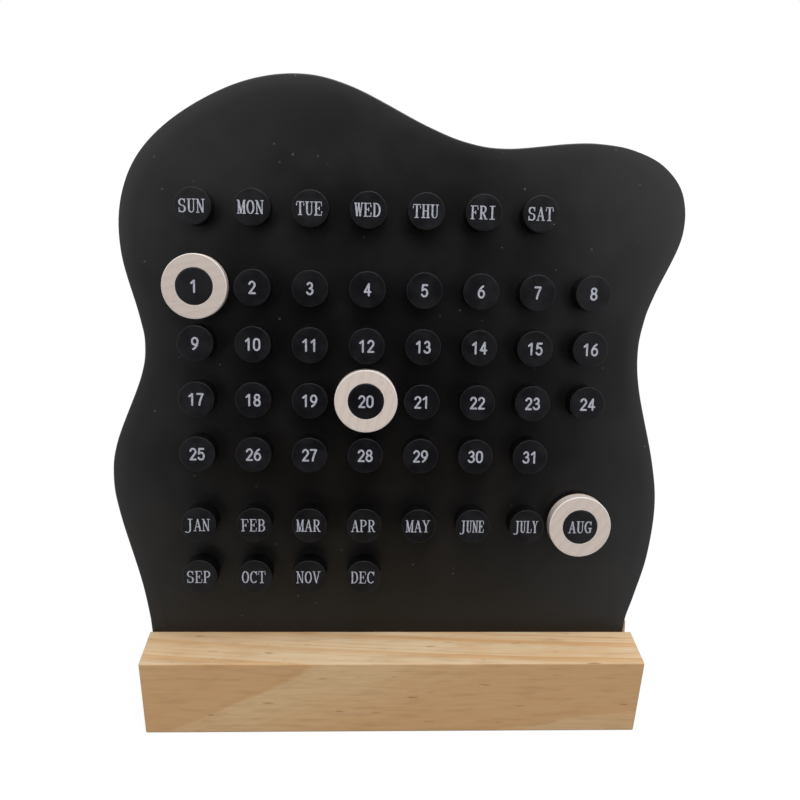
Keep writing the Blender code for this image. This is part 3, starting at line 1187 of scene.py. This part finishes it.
def make_floor(look):
    """White where it is seen, with the object's shadow on it, and grey for what it gives back."""
    material, graph, shader, place = new_material("White floor")
    graph.dress(shader, rgba(look.floor), 0.9, 0.0)
    glow = graph.node("Emission", {"Strength": graph.remap(graph.span(place), 0.3, 1.3, 0.9, 0.994)})
    dim = graph.node("BsdfDiffuse", {"Color": rgba(look.shadow)})
    both = graph.node("AddShader", {0: glow[0], 1: dim[0]})
    fade = graph.node("MixShader", {0: seen_white(graph), 1: shader.outputs[0], 2: both[0]})
    graph.feed(material.node_tree.nodes["Material Output"].inputs, {"Surface": fade[0]})
    return material


def make_world(look):
    world = bpy.data.worlds.new("Studio")
    world.use_nodes = True
    graph = Graph(world.node_tree)
    strength = graph.math("MAXIMUM", seen_white(graph), look.fill)
    white = rgba((1.0, 1.0, 1.0))
    graph.feed(world.node_tree.nodes["Background"].inputs, {"Color": white, "Strength": strength})
    bpy.context.scene.world = world


def add_flag(name, paint, size, start, seat):
    """A card that fades out to its rim and that only reflections show."""
    material, graph, shader, place = new_material(f"Paint of {name}")
    wide, high = size
    reach = graph.span(graph.scaled(place, 1 / wide, 1 / high, 0.0))
    graph.dress(shader, rgba(paint), 0.5, 0.0, Alpha=graph.remap(reach, start, 1.0, 1.0, 0.0))
    card = add_card(name, wide, high, material)
    card.matrix_world = seat
    card.visible_camera = False
    card.visible_diffuse = False
    card.visible_shadow = False


class MakeStage(bpy.types.Operator):
    """Set up the floor, the soft lamps and the camera"""

    bl_idname = "calendar.make_stage"
    bl_label = "Stage"

    def execute(self, context):
        scene = context.scene
        look = scene.calendar_stage
        scene.view_settings.view_transform = "Standard"
        make_world(look)
        add_card("floor", FLOOR_REACH, FLOOR_REACH, make_floor(look))
        middle = (CAD_BOX[0] + CAD_BOX[1]) / 2
        for name, strength, size, place in SOFTBOXES:
            add_softbox(name, getattr(look, strength), size, place, middle)
        camera = bpy.data.cameras.new("camera")
        camera.sensor_width = SENSOR_WIDTH
        camera.lens = look.focal_length
        camera.clip_start = 0.01
        holder = add_object("camera", camera)
        holder.location = CAMERA_PLACE
        holder.rotation_euler = Euler([radians(turn) for turn in CAMERA_TURN])
        scene.camera = holder
        upright = Matrix.Translation(CAMERA_PLACE) @ FROM_BOARD @ Matrix.Translation(CARD_SHIFT)
        add_flag("camera_side_card", (0.0, 0.0, 0.0), CARD_SIZE, 0.56, upright)
        add_flag("front_mat", look.mat, MAT_SIZE, 0.4, Matrix.Translation(MAT_PLACE))
        return {"FINISHED"}


# The add-on


class CalendarPanel(bpy.types.Panel):
    """Sizes, colours and buttons of the desk calendar."""

    bl_idname = "VIEW3D_PT_desk_calendar"
    bl_label = "Perpetual desk calendar"
    bl_space_type = "VIEW_3D"
    bl_region_type = "UI"
    bl_category = "Desk calendar"

    def draw(self, context):
        for maker, group in zip(MAKERS, LOOKS):
            box = self.layout.box()
            box.operator(maker.bl_idname)
            look = getattr(context.scene, group)
            for name in look.__annotations__:
                box.prop(look, name)


MAKERS = (MakeBlock, MakeBoard, MakePegs, MakePrint, MakeRings, MakeStage)


def register():
    for group, look in LOOKS.items():
        bpy.utils.register_class(look)
        setattr(bpy.types.Scene, group, bpy.props.PointerProperty(type=look))
    for maker in MAKERS:
        bpy.utils.register_class(maker)
    bpy.utils.register_class(CalendarPanel)


def unregister():
    bpy.utils.unregister_class(CalendarPanel)
    for maker in reversed(MAKERS):
        bpy.utils.unregister_class(maker)
    for group, look in reversed(LOOKS.items()):
        delattr(bpy.types.Scene, group)
        bpy.utils.unregister_class(look)


def main():
    register()
    make_mottle_group()
    make_speck_group()
    make_wood_group()
    bpy.ops.calendar.make_block()
    bpy.ops.calendar.make_board()
    bpy.ops.calendar.make_pegs()
    bpy.ops.calendar.make_print()
    bpy.ops.calendar.make_rings()
    bpy.ops.calendar.make_stage()


if __name__ == "__main__":
    main()
